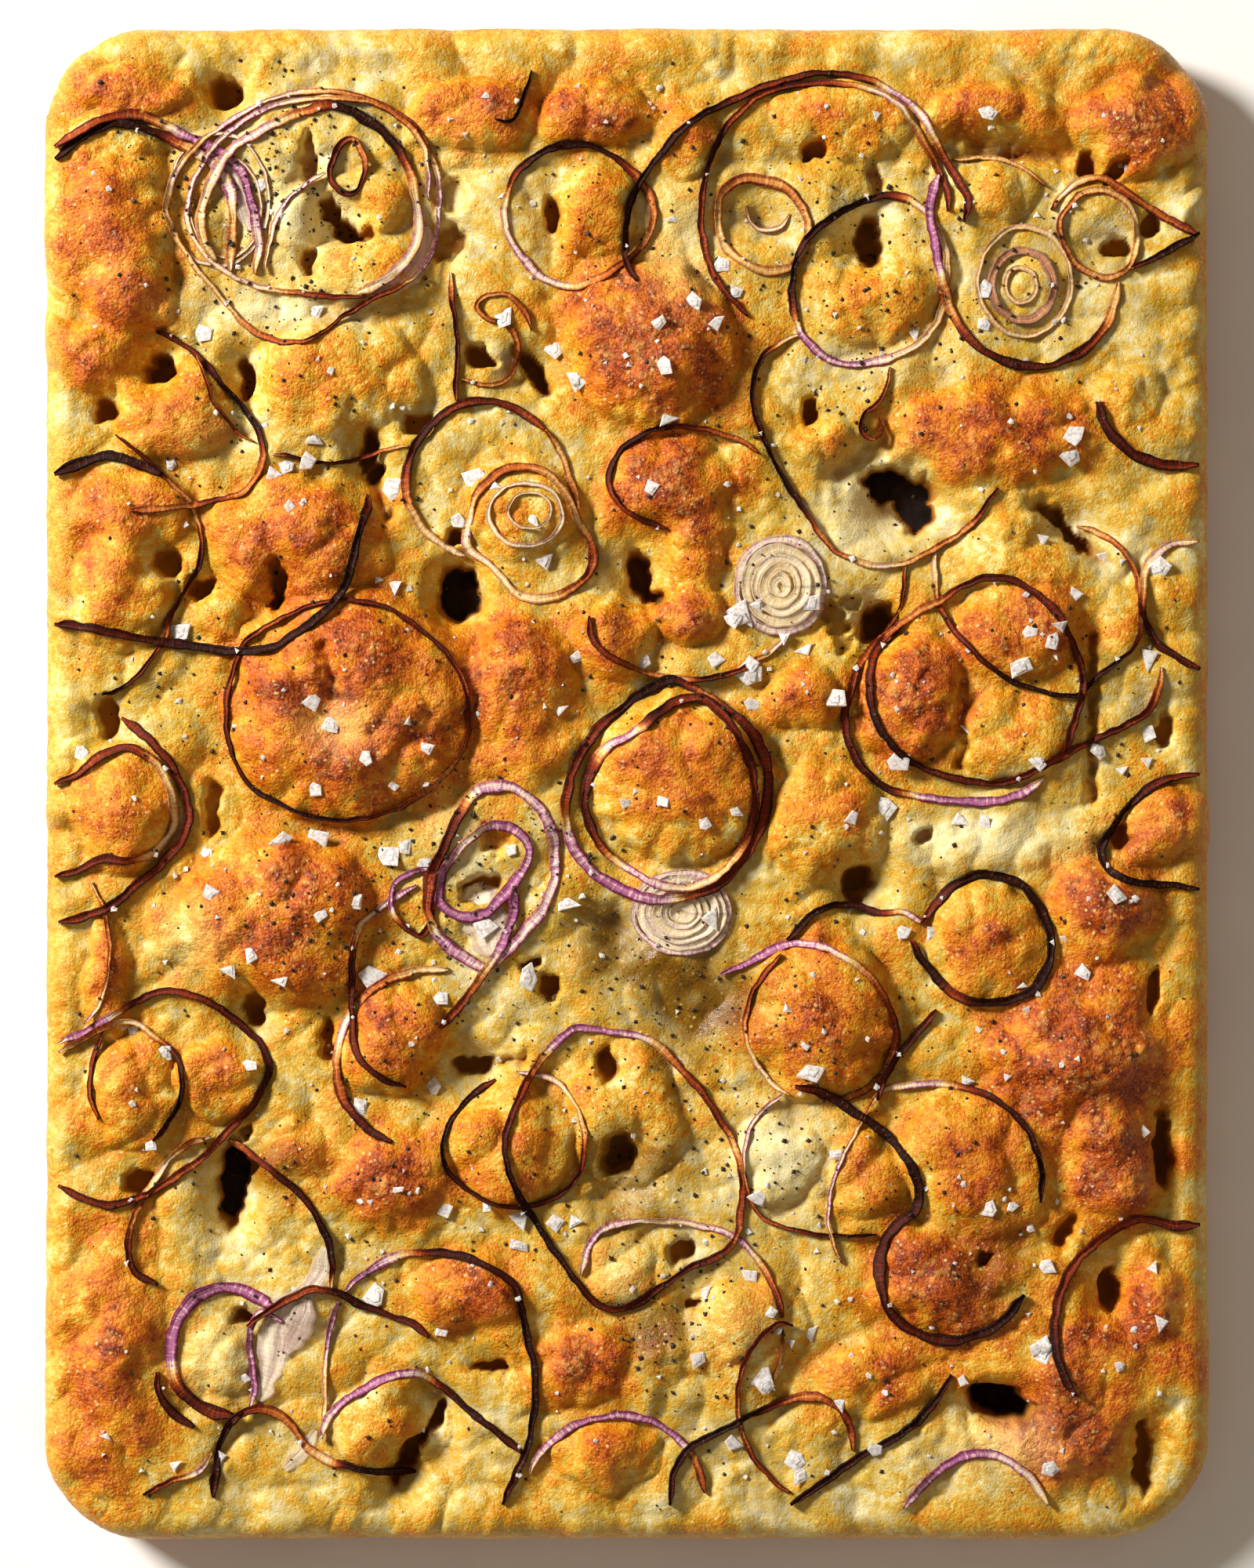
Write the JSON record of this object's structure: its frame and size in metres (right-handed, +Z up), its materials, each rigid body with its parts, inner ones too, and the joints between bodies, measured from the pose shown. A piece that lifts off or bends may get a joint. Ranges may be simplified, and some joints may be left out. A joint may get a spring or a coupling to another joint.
{
  "type": "focaccia",
  "caption": "Tray-baked flat bread with a bubbled, dimpled golden crust, topped with roasted red onion rings and flaky salt; eaten torn or cut.",
  "frame": {"origin": "middle of the flat underside, on the surface that the bread rests on", "axes": "+Z up through the crust, +Y along the long side, +X along the short side"},
  "size_m": [0.3, 0.39, 0.033],
  "materials": {
    "bread_crust": "baked crust, oiled; golden yellow in the valleys, red-brown on the bubbles",
    "red_onion": "roasted onion, moist; charred brown, purple-pink and translucent cream",
    "flake_salt": "flaky sea salt, white, slightly translucent"
  },
  "bodies": {
    "root": {"bread": "bread_crust", "onion_ring_01": "red_onion", "onion_ring_02": "red_onion", "onion_ring_03": "red_onion", "onion_ring_04": "red_onion", "onion_ring_05": "red_onion", "onion_ring_06": "red_onion", "onion_ring_07": "red_onion", "onion_ring_08": "red_onion", "onion_ring_09": "red_onion", "onion_ring_10": "red_onion", "onion_ring_11": "red_onion", "onion_ring_12": "red_onion", "onion_ring_13": "red_onion", "onion_ring_14": "red_onion", "onion_ring_15": "red_onion", "onion_ring_16": "red_onion", "onion_ring_17": "red_onion", "onion_ring_18": "red_onion", "onion_ring_19": "red_onion", "onion_ring_20": "red_onion", "onion_ring_21": "red_onion", "onion_ring_22": "red_onion", "onion_ring_23": "red_onion", "onion_ring_24": "red_onion", "onion_ring_25": "red_onion", "onion_ring_26": "red_onion", "onion_ring_27": "red_onion", "onion_ring_28": "red_onion", "onion_ring_29": "red_onion", "onion_ring_30": "red_onion", "onion_ring_31": "red_onion", "onion_ring_32": "red_onion", "onion_ring_33": "red_onion", "onion_ring_34": "red_onion", "onion_ring_35": "red_onion", "onion_ring_36": "red_onion", "onion_ring_37": "red_onion", "onion_ring_38": "red_onion", "onion_ring_39": "red_onion", "onion_ring_40": "red_onion", "onion_ring_41": "red_onion", "onion_ring_42": "red_onion", "onion_ring_43": "red_onion", "onion_ring_44": "red_onion", "onion_ring_45": "red_onion", "onion_ring_46": "red_onion", "onion_ring_47": "red_onion", "onion_ring_48": "red_onion", "onion_ring_49": "red_onion", "onion_ring_50": "red_onion", "onion_slice_lower_inner": "red_onion", "onion_slice_lower_outer": "red_onion", "onion_slice_upper_inner": "red_onion", "onion_slice_upper_outer": "red_onion", "salt_flake_01": "flake_salt", "salt_flake_02": "flake_salt", "salt_flake_03": "flake_salt", "salt_flake_04": "flake_salt", "salt_flake_05": "flake_salt"}
  },
  "joints": []
}
